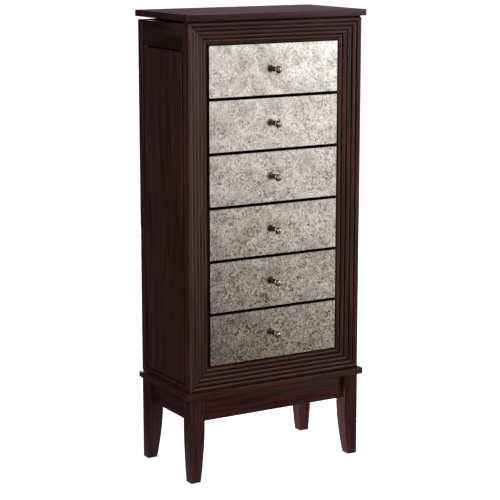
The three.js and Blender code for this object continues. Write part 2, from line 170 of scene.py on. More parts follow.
def antique_mirror_material():
    """Silvered glass with pale clouds, thin curling lines and dark specks, more so lower down."""
    material, tree, shader = new_material("antique_mirror", {"Metallic": 1.0})
    place = object_coordinates(tree)
    clouds = noise_at(tree, place, 30, 4, 0.6, 0.8)
    swirls = noise_at(tree, place, 47.5, 2, 0.45, 0.6)
    ripples = noise_at(tree, place, 120, 1, 0.5, 1.2)
    specks = noise_at(tree, place, 210, 1, 0.5, 0.8)
    tints = noise_at(tree, place, 13, 2)
    white, olive, brown = (1.0, 1.0, 1.0), (0.20, 0.155, 0.10), (0.10, 0.08, 0.055)
    dull_silver, bright_silver = (0.69, 0.66, 0.615), (1.0, 0.965, 0.95)
    green_tint, rose_tint = (0.93, 0.955, 0.94), (1.0, 0.985, 0.985)
    silver = ramp(tree, clouds, (0.34, dull_silver), (0.62, bright_silver))
    hue = ramp(tree, tints, (0.40, green_tint), (0.58, rose_tint))
    silver = blend_colours(tree, 1.0, silver, hue, "MULTIPLY")

    line_density = 40.0
    curls = calculate(tree, "SINE", calculate(tree, "MULTIPLY", swirls, line_density))
    lines = ramp(tree, curls, (0.2, white), (0.92, olive))
    fine_lines = ramp(tree, ripples, (0.43, white), (0.49, olive), (0.55, white))
    foxing = ramp(tree, specks, (0.36, brown), (0.45, white))

    # The lines, specks and foxing grow stronger towards the bottom of the glass, so the lower
    # fronts are darker.
    height = add(tree, "ShaderNodeSeparateXYZ", {"Vector": place}).outputs["Z"]
    lowest, highest = 0.25, 0.95
    lowness = {"Value": height, "From Min": lowest, "From Max": highest, "To Min": 1.2, "To Max": 0.5}
    lowness = add(tree, "ShaderNodeMapRange", lowness).outputs["Result"]
    patches = noise_at(tree, place, 29, 4)
    patches = ramp(tree, patches, (0.36, 0.40), (0.64, 0.84))
    breaks = noise_at(tree, place, 170, 1)
    breaks = ramp(tree, breaks, (0.42, 0.55), (0.56, 1.0))
    spotted = calculate(tree, "MULTIPLY", patches, lowness)
    line_share = calculate(tree, "MULTIPLY", spotted, breaks)
    colour = blend_colours(tree, line_share, silver, lines, "MULTIPLY")
    colour = blend_colours(tree, between(tree, lowness, 0.0, 0.5), colour, fine_lines, "MULTIPLY")
    colour = blend_colours(tree, spotted, colour, foxing, "MULTIPLY")
    rough = ramp(tree, clouds, (0.35, 0.18), (0.65, 0.24))
    normal = bump(tree, (ripples, 0.015 * MM), (specks, 0.015 * MM))
    connect(tree, shader, Base_Color=colour, Roughness=rough, Normal=normal)
    return material


def edge_paint_and_gap_shade_material():
    """Matt black paint on the cut edges of the glass; on the rounded front arris it is painted
    shade that widens the dark gaps between the drawers.
    """
    material, tree, shader = new_material("edge_paint_and_gap_shade", {"Specular IOR Level": 0.15})
    texture = noise_at(tree, object_coordinates(tree), 700, 3)
    colour = ramp(tree, texture, (0.3, 0.004), (0.7, 0.009))
    rough = between(tree, texture, 0.6, 0.8)
    normal = bump(tree, (texture, 0.02 * MM))
    connect(tree, shader, Base_Color=colour, Roughness=rough, Normal=normal)
    return material


def clear_mirror_material():
    sockets = {"Metallic": 1.0, "Base Color": (0.86, 0.88, 0.88, 1), "Coat Weight": 0.5}
    material, tree, shader = new_material("clear_mirror", sockets)
    smear = noise_at(tree, object_coordinates(tree), 25, 4)
    connect(tree, shader, Roughness=between(tree, smear, 0.01, 0.05))
    return material


def aged_metal(name, dark, light, roughness):
    """Cast metal, darker where a patina has settled."""
    material, tree, shader = new_material(name, {"Metallic": 1.0})
    place = object_coordinates(tree)
    patina = noise_at(tree, place, 260, 5, 0.65, 0.6)
    fine = noise_at(tree, place, 1500, 2)
    colour = ramp(tree, patina, (0.35, dark), (0.62, light))
    rough = between(tree, patina, roughness + 0.08, roughness - 0.04)
    normal = bump(tree, (patina, 0.04 * MM), (fine, 0.02 * MM))
    connect(tree, shader, Base_Color=colour, Roughness=rough, Normal=normal)
    return material


def brushed_steel():
    material, tree, shader = new_material("steel", {"Metallic": 1.0})
    lines = noise_at(tree, object_coordinates(tree, (1, 30, 30)), 60, 3)
    colour = ramp(tree, lines, (0.3, 0.5), (0.7, 0.68))
    rough = between(tree, lines, 0.24, 0.38)
    connect(
        tree,
        shader,
        Base_Color=colour,
        Roughness=rough,
        Normal=bump(tree, (lines, 0.01 * MM)),
    )
    return material


def velvet_material():
    sockets = {
        "Sheen Weight": 0.8,
        "Sheen Roughness": 0.35,
        "Sheen Tint": (0.55, 0.5, 0.52, 1),
        "Specular IOR Level": 0.1,
    }
    material, tree, shader = new_material("velvet", sockets)
    place = object_coordinates(tree)
    nap = noise_at(tree, place, 1400, 3, 0.7)
    brushed = noise_at(tree, place, 24, 4, 0.55, 0.5)
    colour = ramp(tree, brushed, (0.35, (0.011, 0.008, 0.009)), (0.68, (0.028, 0.021, 0.023)))
    colour = blend_colours(tree, 0.6, colour, ramp(tree, nap, (0.3, 0.5), (0.7, 1.0)), "MULTIPLY")
    rough = between(tree, nap, 0.85, 1.0)
    normal = bump(tree, (brushed, 0.2 * MM), (nap, 0.12 * MM))
    connect(tree, shader, Base_Color=colour, Roughness=rough, Normal=normal)
    return material


def moulded_plastic():
    material, tree, shader = new_material("moulded_plastic", {"Specular IOR Level": 0.4})
    texture = noise_at(tree, object_coordinates(tree), 1600, 2)
    colour = ramp(tree, texture, (0.3, (0.018, 0.011, 0.010)), (0.7, (0.028, 0.018, 0.016)))
    rough = between(tree, texture, 0.4, 0.55)
    connect(
        tree,
        shader,
        Base_Color=colour,
        Roughness=rough,
        Normal=bump(tree, (texture, 0.02 * MM)),
    )
    return material


# Each stain is its dark and its light colour. The frame's uprights are polished more than the
# rest, and the tray's sides are darker, as painted shade from the lid's overhang.
ESPRESSO = ((0.026, 0.0052, 0.0062), (0.080, 0.0205, 0.0225))
POLISHED = ((0.022, 0.0045, 0.0055), (0.105, 0.026, 0.028))
# a darker copy of the stain: painted shade from the lid's overhang
TRAY_PAINTED_SHADE = ((0.0145, 0.004, 0.0041), (0.046, 0.0156, 0.0148))
INNER = ((0.022, 0.010, 0.009), (0.040, 0.020, 0.017))
HARDBOARD = ((0.030, 0.017, 0.011), (0.048, 0.028, 0.019))
espresso = [wood(f"espresso_{axis}", i, *ESPRESSO, 0.28, 0.22) for i, axis in enumerate("xyz")]
polished = wood("polished_espresso", Z, *POLISHED, 0.22, 0.34)
tray_wood_painted_shade = wood("tray_espresso_painted_shade", Y, *TRAY_PAINTED_SHADE, 0.3, 0.2)
inner_wood = [wood(f"inner_wood_{axis}", i, *INNER, 0.6, 0.2) for i, axis in enumerate("xyz")]
hardboard = wood("hardboard", Z, *HARDBOARD, 0.75, 0.15)
antique_mirror = antique_mirror_material()
edge_paint_and_gap_shade = edge_paint_and_gap_shade_material()
clear_mirror = clear_mirror_material()
pewter = aged_metal("pewter", (0.10, 0.075, 0.05), (0.76, 0.66, 0.50), 0.13)
# painted shade on the knobs' backs and necks, and patina in their grooves
pewter_patina_and_painted_shade = aged_metal("pewter_patina_and_painted_shade", (0.016, 0.011, 0.007), (0.075, 0.055, 0.037), 0.22)
browned_steel = aged_metal("browned_steel", (0.04, 0.032, 0.028), (0.16, 0.13, 0.12), 0.3)
steel = brushed_steel()
velvet = velvet_material()
plastic = moulded_plastic()

# ---------------------------------------------------------------- making pieces


def piece(name, bm, body, materials, replaced=(), smooth=30):
    """The mesh as an object that rides on a body, in place of some CAD nodes."""
    bmesh.ops.recalc_face_normals(bm, faces=bm.faces[:])
    mesh = bpy.data.meshes.new(name)
    bm.to_mesh(mesh)
    bm.free()
    for polygon in mesh.polygons:
        polygon.use_smooth = True
    mesh.set_sharp_from_angle(angle=math.radians(smooth))
    for material in materials:
        mesh.materials.append(material)
    obj = bpy.data.objects.new(name, mesh)
    bpy.context.scene.collection.objects.link(obj)
    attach(obj, body)
    if replaced:
        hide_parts(*replaced)
    return obj


def loft(bm, rings, material=0):
    """Closed rings of points joined side to side, with a cap at each end."""
    loops = [[bm.verts.new(point) for point in ring] for ring in rings]
    faces = []
    for low, high in zip(loops, loops[1:]):
        count = len(low)
        for i in range(count):
            j = (i + 1) % count
            faces.append(bm.faces.new((low[i], low[j], high[j], high[i])))
    faces.append(bm.faces.new(loops[0][::-1]))
    faces.append(bm.faces.new(loops[-1]))
    for face in faces:
        face.material_index = material


def outline(low, high, radius, steps=5):
    """(x, y) points round a rectangle with rounded corners."""
    centres = (
        (high[0] - radius, low[1] + radius, -90),
        (high[0] - radius, high[1] - radius, 0),
        (low[0] + radius, high[1] - radius, 90),
        (low[0] + radius, low[1] + radius, 180),
    )
    points = []
    for x, y, start in centres:
        for i in range(steps + 1):
            angle = math.radians(start + 90 * i / steps)
            points.append((x + radius * math.cos(angle), y + radius * math.sin(angle)))
    return points


def eased_slab(low, high, corner, ease, steps=4):
    """A board with rounded corners and rounded top and bottom edges."""
    rings = []
    for end in (0, 1):
        for i in range(steps + 1):
            angle = math.radians(90 * (i / steps if end == 0 else 1 - i / steps))
            inset = ease * (1 - math.sin(angle))
            rise = ease * (1 - math.cos(angle))
            z = high.z - rise if end else low.z + rise
            a, b = (low.x + inset, low.y + inset), (high.x - inset, high.y - inset)
            rings.append([(x, y, z) for x, y in outline(a, b, corner - inset)])
    bm = bmesh.new()
    loft(bm, rings)
    return bm


def add_box(bm, low, high, ease=0.7 * MM, segments=2, material=0):
    """A board with eased edges, added to the mesh."""
    low, high = Vector(low), Vector(high)
    place = Matrix.Translation((low + high) / 2) @ Matrix.Diagonal((*(high - low), 1))
    made = bmesh.ops.create_cube(bm, size=1, matrix=place)
    edges = list({edge for vert in made["verts"] for edge in vert.link_edges})
    for face in {face for vert in made["verts"] for face in vert.link_faces}:
        face.material_index = material
    if ease:
        bmesh.ops.bevel(
            bm, geom=edges, offset=ease, segments=segments, profile=0.5, affect="EDGES"
        )


def boards(*boxes, ease=0.7 * MM):
    bm = bmesh.new()
    for low, high in boxes:
        add_box(bm, low, high, ease)
    return bm


def turned(bm, profile, place, sides=32, material=0):
    """A lathe form from (radius, height) points, about the place's Z axis."""
    rings = []
    for radius, height in profile:
        ring = []
        for i in range(sides):
            angle = 2 * math.pi * i / sides
            point = Vector((radius * math.cos(angle), radius * math.sin(angle), height))
            ring.append(place @ point)
        rings.append(ring)
    loft(bm, rings, material)


def towards(origin, axis):
    """A place whose Z axis points along axis."""
    turn = Vector(axis).to_track_quat("Z", "Y").to_matrix().to_4x4()
    return Matrix.Translation(origin) @ turn


def rounded_profile(points, radius, steps=3):
    """The profile with its inner corners rounded."""
    result = [points[0]]
    for before, here, after in zip(points, points[1:], points[2:]):
        before, here, after = Vector(before), Vector(here), Vector(after)
        reach = min(radius, (before - here).length / 2.2, (after - here).length / 2.2)
        a = here + (before - here).normalized() * reach
        b = here + (after - here).normalized() * reach
        for i in range(steps + 1):
            t = i / steps
            result.append(tuple(a * (1 - t) ** 2 + here * 2 * t * (1 - t) + b * t**2))
    return result + [points[-1]]


SCREW_PROUD = 0.02 * MM


def add_screw(bm, place, radius=2.4 * MM, material=0):
    """A countersunk screw head with a cross slot, its top on the place's XY plane."""
    slot, depth = radius * 0.16, radius * 0.35
    reach = radius * 0.62
    sides = 16
    rim = []
    for i in range(sides):
        angle = 2 * math.pi * (i + 0.5) / sides
        rim.append(Vector((radius * math.cos(angle), radius * math.sin(angle), 0)))
    cross = []
    for quarter in range(4):
        turn = Matrix.Rotation(math.radians(90 * quarter), 3, "Z")
        cross += [
            turn @ Vector((reach, -slot, 0)),
            turn @ Vector((reach, slot, 0)),
            turn @ Vector((slot, slot, 0)),
        ]
    low_rim = [bm.verts.new(place @ (p * 0.75 - Vector((0, 0, depth * 1.3)))) for p in rim]
    top_rim = [bm.verts.new(place @ p) for p in rim]
    mouth = [bm.verts.new(place @ p) for p in cross]
    floor = [bm.verts.new(place @ (p * 0.8 - Vector((0, 0, depth)))) for p in cross]
    faces = []
    for low, high in ((low_rim, top_rim), (mouth, floor)):
        for i in range(len(low)):
            j = (i + 1) % len(low)
            faces.append(bm.faces.new((low[i], low[j], high[j], high[i])))
    faces += [bm.faces.new(low_rim[::-1]), bm.faces.new(floor)]
    edges = []
    for loop in (top_rim, mouth):
        edges += [bm.edges.get(pair) for pair in zip(loop, loop[1:] + loop[:1])]
    filled = bmesh.ops.triangle_fill(bm, use_beauty=True, use_dissolve=False, edges=edges)
    faces += [item for item in filled["geom"] if isinstance(item, bmesh.types.BMFace)]
    for face in faces:
        face.material_index = material


def cut(obj, bm):
    """Takes the closed form in bm away from the object's mesh."""
    bmesh.ops.recalc_face_normals(bm, faces=bm.faces[:])
    mesh = bpy.data.meshes.new("cutter")
    bm.to_mesh(mesh)
    bm.free()
    cutter = bpy.data.objects.new("cutter", mesh)
    bpy.context.scene.collection.objects.link(cutter)
    modifier = obj.modifiers.new("cut", "BOOLEAN")
    modifier.operation, modifier.solver, modifier.object = "DIFFERENCE", "EXACT", cutter
    bpy.context.view_layer.update()
    evaluated = obj.evaluated_get(bpy.context.evaluated_depsgraph_get())
    result = bpy.data.meshes.new_from_object(evaluated)
    obj.modifiers.remove(modifier)
    obj.data = result
    bpy.data.objects.remove(cutter)


def grain_of(low, high):
    """The axis of a board's longest side."""
    size = list(Vector(high) - Vector(low))
    return size.index(max(size))


def plain_board(node, body, woods, ease=0.8 * MM):
    """A CAD board again, with eased edges and its grain along its length."""
    low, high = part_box(node)
    bm = boards((low, high), ease=ease)
    return piece(f"{node}_board", bm, body, [woods[grain_of(low, high)]], [node])


# ---------------------------------------------------------------- stand

FOOT, LEG_TOP = 24 * MM, 35 * MM
TAPER_TOP, TAPER_PULL = 130 * MM, 75 * MM


def leg_section(t):
    """(height, side) of a leg along its swept inner face; t is from 0 at the foot to 1."""
    height = 2 * TAPER_PULL * t * (1 - t) + TAPER_TOP * t**2
    side = FOOT * (1 - t) ** 2 + LEG_TOP * (1 - (1 - t) ** 2)
    return height, side


def make_leg(node, x_sign, y_sign):
    low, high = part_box(node)
    corner = Vector((high.x if x_sign > 0 else low.x, high.y if y_sign > 0 else low.y))
    radius, ease = 1.4 * MM, 0.8 * MM
    sections = [(0.0, FOOT, ease), (ease, FOOT, 0.0)]
    sections += [(*leg_section(i / 18), 0.0) for i in range(1, 19)]
    sections += [(high.z, LEG_TOP, 0.0)]
    rings = []
    for height, side, inset in sections:
        flat = outline((inset, inset), (side - inset, side - inset), radius)
        rings.append([(corner.x - x_sign * u, corner.y - y_sign * v, height) for u, v in flat])
    bm = bmesh.new()
    loft(bm, rings)
    piece(f"{node}_post", bm, "casing", [espresso[Z]], [node], smooth=40)


def make_stand():
    for word, x_sign in SIDES:
        make_leg(f"leg_front_{word}", x_sign, -1)
        make_leg(f"leg_rear_{word}", x_sign, 1)
    for word in ("front", "rear", "left", "right"):
        plain_board(f"apron_{word}", "casing", espresso, 1.0 * MM)
    low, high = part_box("plinth_board")
    slab = eased_slab(low, high, 4 * MM, 1.6 * MM)
    piece("plinth", slab, "casing", [espresso[X]], ["plinth_board"], smooth=40)


# ---------------------------------------------------------------- reeded front frame

BEADS, BEAD_STEP, BEAD_CROWN = 5, 3.5 * MM, 2.0 * MM
LIP_WIDTH, LIP_SETBACK, MITRE_GAP = 2.8 * MM, 17.5 * MM, 0.2 * MM


def bead_profile(width, full_width, thick):
    """(across, deep) of the moulding: a narrow lip, then beads that step forwards."""
    lip = LIP_WIDTH * width / full_width
    pitch = (width - lip) / BEADS
    radius = ((pitch / 2) ** 2 + BEAD_CROWN**2) / (2 * BEAD_CROWN)
    sweep = math.asin(pitch / 2 / radius)
    points = [(0.0, thick), (0.0, LIP_SETBACK), (lip, LIP_SETBACK)]
    for bead in range(BEADS):
        crest = (BEADS - 1 - bead) * BEAD_STEP
        for i in range(15):
            angle = sweep * (i / 7 - 1)
            across = lip + (bead + 0.5) * pitch + radius * math.sin(angle)
            points.append((across, crest + radius * (1 - math.cos(angle))))
    points.append((width, thick))
    return points


def make_frame_length(node, along, sign, reach, edge, width, next_width, full_width):
    """One length between mitres; reach is the middle and half of its inner edge's length."""
    low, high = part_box(node)
    across_axis = 2 - along
    middle, half = reach
    rings = []
    for end in (-1, 1):
        ring = []
        for across, deep in bead_profile(width, full_width, high.y - low.y):
            point = Vector((0, low.y + deep, 0))
            point[along] = middle + end * (half + across * next_width / width - MITRE_GAP)
            point[across_axis] = edge + sign * across
            ring.append(point)
        rings.append(ring)
    bm = bmesh.new()
    loft(bm, rings)
    woods = [polished if along == Z else espresso[along]]
    piece(f"{node}_moulding", bm, "casing", woods, [node], smooth=24)


def make_front_frame():
    left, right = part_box("frame_left"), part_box("frame_right")
    top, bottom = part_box("frame_top"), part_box("frame_bottom")
    stile, rail = left[1].x - left[0].x, top[1].z - top[0].z
    half_x = (right[0].x - left[1].x) / 2
    middle_z, half_z = (top[0].z + bottom[1].z) / 2, (top[0].z - bottom[1].z) / 2
    for node, sign, edge in (("frame_top", 1, top[0].z), ("frame_bottom", -1, bottom[1].z)):
        make_frame_length(node, X, sign, (0, half_x), edge, rail, stile, stile)
    for node, sign in (("frame_left", -1), ("frame_right", 1)):
        place = (middle_z, half_z)
        make_frame_length(node, Z, sign, place, sign * half_x, stile, rail, stile)


# ---------------------------------------------------------------- carcass

RUNNER_HEIGHT, RUNNER_REACH, RUNNER_GAP = 8 * MM, 10 * MM, 0.4 * MM
PARTITION = 8 * MM
BOX_BELOW = 8 * MM


def make_partition(word, sign):
    node = f"partition_{word}"
    low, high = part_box(node)
    outer = high.x if sign > 0 else low.x
    inner = outer - sign * PARTITION
    a = (min(outer, inner), low.y, low.z)
    b = (max(outer, inner), high.y, high.z)
    piece(f"{node}_board", boards((a, b)), "casing", [inner_wood[Z]], [node])
    for k in DRAWERS:
        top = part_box(f"drawer_{k}_box")[0].z + BOX_BELOW - RUNNER_GAP
        reach = inner - sign * RUNNER_REACH
        a = Vector((min(inner, reach), low.y + 2 * MM, top - RUNNER_HEIGHT))
        b = Vector((max(inner, reach), high.y - 2 * MM, top))
        bm = boards((a, b), ease=1.0 * MM)
        side = Vector((-sign, 0, 0))
        for share in (0.12, 0.5, 0.88):
            y = a.y + (b.y - a.y) * share
            at = Vector((reach - sign * SCREW_PROUD, y, (a.z + b.z) / 2))
            add_screw(bm, towards(at, side), 2.0 * MM, 1)
        piece(f"runner_{word}_{k}", bm, "casing", [inner_wood[Y], steel])


def make_back_panel():
    low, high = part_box("back_panel")
    bm = boards((low, high), ease=0.5 * MM)
    rear = Vector((0, 1, 0))
    inset, rows, columns = 9 * MM, 6, 5
    places = []
    for i in range(rows + 1):
        z = low.z + inset + (high.z - low.z - 2 * inset) * i / rows
        places += [(x, z) for x in (low.x + inset, high.x - inset)]
    for i in range(1, columns):
        x = low.x + inset + (high.x - low.x - 2 * inset) * i / columns
        places += [(x, z) for z in (low.z + inset, high.z - inset)]
    for x, z in places:
        add_screw(bm, towards(Vector((x, high.y + SCREW_PROUD, z)), rear), 2.6 * MM, 1)
    piece("back_board", bm, "casing", [hardboard, steel], ["back_panel"])


def make_carcass():
    for word, sign in SIDES:
        for node in (f"front_post_{word}", f"rear_post_{word}"):
            plain_board(node, "casing", espresso)
        # the tray's sides are darker as painted shade from the lid's overhang
        plain_board(f"tray_side_{word}", "casing", [tray_wood_painted_shade] * 3)
        make_partition(word, sign)
    plain_board("rear_rail", "casing", espresso)
    plain_board("casing_floor", "casing", espresso)
    plain_board("tray_floor", "casing", inner_wood, 0.5 * MM)
    make_back_panel()


# ---------------------------------------------------------------- side doors

SOCKET_RADIUS, SOCKET_DEPTH = 2.8 * MM, 8 * MM


def make_door(word, sign):
    node = f"side_door_{word}"
    body = node
    low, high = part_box(node)
    radius = (high.x - low.x) / 2
    axis_x, axis_y = (low.x + high.x) / 2, high.y - radius
    front_round, ease = 2.2 * MM, 0.8 * MM
    plan = [(-radius + ease, low.y)]
    for i in range(7):
        angle = math.radians(90 * i / 6)
        x = radius - front_round * (1 - math.sin(angle))
        plan.append((x, low.y + front_round * (1 - math.cos(angle))))
    for i in range(17):
        angle = math.pi * i / 16
        plan.append((radius * math.cos(angle), axis_y + radius * math.sin(angle)))
    plan.append((-radius, low.y + ease))
    rings = []
    for z, inset in ((low.z, ease), (low.z + ease, 0), (high.z - ease, 0), (high.z, ease)):
        shrink = 1 - inset / radius
        ring = []
        for x, y in plan:
            y = max(y, low.y + inset) if y < axis_y else axis_y + (y - axis_y) * shrink
            ring.append((axis_x + sign * x * shrink, y, z))
        rings.append(ring)
    bm = bmesh.new()
    loft(bm, rings)
    door = piece(f"{node}_leaf", bm, body, [espresso[Z]], [node], smooth=40)
    for z in (low.z, high.z):
        rod = bmesh.new()
        place = Matrix.Translation((axis_x, axis_y, z))
        profile = ((SOCKET_RADIUS, -SOCKET_DEPTH), (SOCKET_RADIUS, SOCKET_DEPTH))
        turned(rod, profile, place, 24)
        cut(door, rod)

    inner = low.x if sign > 0 else high.x
    edge = 12 * MM
    thick = 0.25 * MM
    a = Vector((min(inner, inner - sign * thick), low.y + edge, low.z + edge))
    b = Vector((max(inner, inner - sign * thick), axis_y - edge, high.z - edge))
    lining = boards((a, b), ease=0.1 * MM)
    piece(f"{node}_lining", lining, body, [velvet])

    catch_low, catch_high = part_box(f"door_catch_{word}")
    a = Vector((inner - sign * 0.4 * MM, catch_low.y + 4 * MM, high.z - ease - 9 * MM))
    b = Vector((inner, catch_high.y - 4 * MM, high.z - ease - 1 * MM))
    a.x, b.x = min(a.x, b.x), max(a.x, b.x)
    strike = boards((a, b), ease=0.15 * MM)
    piece(f"{node}_strike_plate", strike, body, [steel])


def make_pegs(word, sign):
    node = f"necklace_pegs_{word}"
    low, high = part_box(node)
    outer = high.x if sign > 0 else low.x
    thick, height, count = 3 * MM, 12 * MM, 6
    a = Vector((min(outer, outer - sign * thick), low.y, low.z))
    b = Vector((max(outer, outer - sign * thick), high.y, low.z + height))
    bm = boards((a, b), ease=0.9 * MM)
    lean = math.radians(18)
    way = Vector((-sign * math.cos(lean), 0, math.sin(lean)))
    stem = ((1.9, 0.0), (1.6, 2.0), (1.5, 10.0), (1.7, 11.5), (2.3, 12.6))
    stem += ((2.5, 14.0), (2.2, 15.6), (1.3, 16.5), (0.4, 16.8))
    profile = rounded_profile([(r * MM, h * MM) for r, h in stem], 0.8 * MM)
    for i in range(count):
        y = low.y + (high.y - low.y) * (i + 0.5) / count
        root = Vector((outer - sign * thick / 2, y, low.z + height / 2))
        turned(bm, profile, towards(root, way), 16)
    for share in (0.01, 0.99):
        y = low.y + (high.y - low.y) * (0.04 + 0.92 * share)
        at = Vector((outer - sign * (thick + SCREW_PROUD), y, low.z + height * 0.5))
        add_screw(bm, towards(at, Vector((-sign, 0, 0))), 1.9 * MM, 1)
    body = f"side_door_{word}"
    piece(f"{node}_rail", bm, body, [pewter, steel], [node], smooth=35)


def make_pivot(node):
    low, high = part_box(node)
    middle = (low + high) / 2
    half = (high.z - low.z) / 2
    pin, collar, shoulder = 2.5 * MM, (high.x - low.x) / 2, 1.2 * MM
    profile = [
        (pin * 0.8, -half),
        (pin, -half + 0.4 * MM),
        (pin, -shoulder),
        (collar - 0.4 * MM, -shoulder),
        (collar, -shoulder + 0.4 * MM),
        (collar, shoulder - 0.4 * MM),
        (collar - 0.4 * MM, shoulder),
        (pin, shoulder),
        (pin, half - 0.4 * MM),
        (pin * 0.8, half),
    ]
    bm = bmesh.new()
    turned(bm, profile, Matrix.Translation(middle), 32)
    piece(f"{node}_pin", bm, "casing", [browned_steel], [node])


def make_catch(word, sign):
    node = f"door_catch_{word}"
    low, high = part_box(node)
    outer = high.x if sign > 0 else low.x
    width, flange = 12 * MM, 2.5 * MM
    bm = bmesh.new()
    x0, x1 = outer - sign * width, outer - sign * 0.8 * MM
    add_box(bm, (min(x0, x1), low.y, low.z), (max(x0, x1), high.y, high.z), 1.0 * MM, 3)
    far = low.x if sign > 0 else high.x
    add_box(
        bm,
        (min(far, x0), low.y + 6 * MM, high.z - flange),
        (max(far, x0), high.y - 6 * MM, high.z),
        0.6 * MM,
    )
    at = Vector(((far + x0) / 2, (low.y + high.y) / 2, high.z - flange - SCREW_PROUD))
    add_screw(bm, towards(at, Vector((0, 0, -1))), 2.2 * MM, 1)
    for z in (low.z + 2 * MM, low.z + 6.5 * MM):
        a, b = outer - sign * 2 * MM, outer
        low_corner = (min(a, b), low.y + 4 * MM, z)
        add_box(bm, low_corner, (max(a, b), high.y - 4 * MM, z + 1.6 * MM), 0.2 * MM, 1, 1)
    piece(f"{node}_magnet", bm, "casing", [plastic, steel], [node])


def make_doors():
    for word, sign in SIDES:
        make_door(word, sign)
        make_pegs(word, sign)
        make_catch(word, sign)
        for end in ("top", "bottom"):
            make_pivot(f"door_pivot_{word}_{end}")


# ---------------------------------------------------------------- drawers

BOX_WALL, BOX_BOTTOM, BOX_ABOVE, BOX_INSET = 7.5 * MM, 5 * MM, 14 * MM, 3.8 * MM
BOARD_THICK = 8.7 * MM

# The knob's profile is (radius, distance from its foot) in mm. From the foot as far as the head's
# rim its metal is darker, which is painted shade on the knob's back and neck along with patina in
# the neck; it is dark in the groove round the button too, where patina settles.
KNOB_PAINTED_SHADE_REACH, KNOB_GROOVE = 15.7 * MM, (18.3 * MM, 20.4 * MM)
KNOB = (
    (5.4, 0.0),
    (5.6, 0.5),
    (5.4, 1.3),
    (4.0, 2.3),
    (3.0, 4.5),
    (2.7, 7.5),
    (3.0, 10.6),
    (4.4, 12.7),
    (7.2, 13.7),
    (8.4, 14.8),
    (8.7, 16.1),
    (8.4, 17.4),
    (7.6, 18.1),
    (7.4, 18.8),
    (7.0, 19.2),
    (5.8, 19.5),
    (5.6, 20.3),
    (5.0, 21.5),
    (3.7, 22.5),
    (1.9, 23.05),
    (0.3, 23.2),
)


def lined_box(low, high, wall, bottom):
    """An open wooden box, its inside faces given the second material."""
    bm = bmesh.new()

    def ring(inset, z):
        a, b = (low.x + inset, low.y + inset), (high.x - inset, high.y - inset)
        corners = ((a[0], a[1]), (b[0], a[1]), (b[0], b[1]), (a[0], b[1]))
        return [bm.verts.new((x, y, z)) for x, y in corners]

    loops = [ring(0, low.z), ring(0, high.z), ring(wall, high.z), ring(wall, low.z + bottom)]
    for number, (lower, upper) in enumerate(zip(loops, loops[1:])):
        for i in range(4):
            j = (i + 1) % 4
            face = bm.faces.new((lower[i], lower[j], upper[j], upper[i]))
            face.material_index = 1 if number == 2 else 0
    bm.faces.new(loops[0][::-1])
    bm.faces.new(loops[3]).material_index = 1
    bmesh.ops.bevel(
        bm, geom=bm.edges[:], offset=0.7 * MM, segments=2, profile=0.5, affect="EDGES"
    )
    return bm


def make_drawer(k):
    body = f"drawer_{k}"
    node = f"{body}_box"
    low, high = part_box(node)
    front_end = low.y + BOARD_THICK
    face = boards((low, (high.x, front_end, high.z)), ease=0.6 * MM)
    piece(f"{body}_front_board", face, body, [espresso[X]], [node])

    a = Vector((low.x + BOX_INSET, front_end, low.z + BOX_BELOW))
    b = Vector((high.x - BOX_INSET, high.y, high.z - BOX_ABOVE))
    box = lined_box(a, b, BOX_WALL, BOX_BOTTOM)
    piece(f"{body}_lined_box", box, body, [inner_wood[Y], velvet], [node])

    low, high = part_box(f"{body}_mirror")
    glass = boards((low, high), ease=0.8 * MM)
    # the edges and rounded arris are black: on the arris this is painted shade that widens the gap
    # between drawers
    for face in glass.faces:
        face.material_index = 0 if face.normal.y < -0.97 else 1
    materials = [antique_mirror, edge_paint_and_gap_shade]
    node = f"{body}_mirror"
    piece(f"{body}_glass", glass, body, materials, [node], smooth=20)

    low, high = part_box(f"{body}_knob")
    root = Vector(((low.x + high.x) / 2, high.y, (low.z + high.z) / 2))
    bm = bmesh.new()
    profile = rounded_profile([(r * MM, h * MM) for r, h in KNOB], 0.5 * MM, 2)
    turned(bm, profile, towards(root, (0, -1, 0)), 40)
    for face in bm.faces:
        reach = root.y - face.calc_center_median().y
        in_groove = KNOB_GROOVE[0] < reach < KNOB_GROOVE[1]
        # from the foot to the head's rim the metal is painted shade; the groove holds patina
        face.material_index = int(reach < KNOB_PAINTED_SHADE_REACH or in_groove)
    metals = [pewter, pewter_patina_and_painted_shade]
    piece(f"{body}_turned_knob", bm, body, metals, [f"{body}_knob"], smooth=40)


# ---------------------------------------------------------------- lid and tray


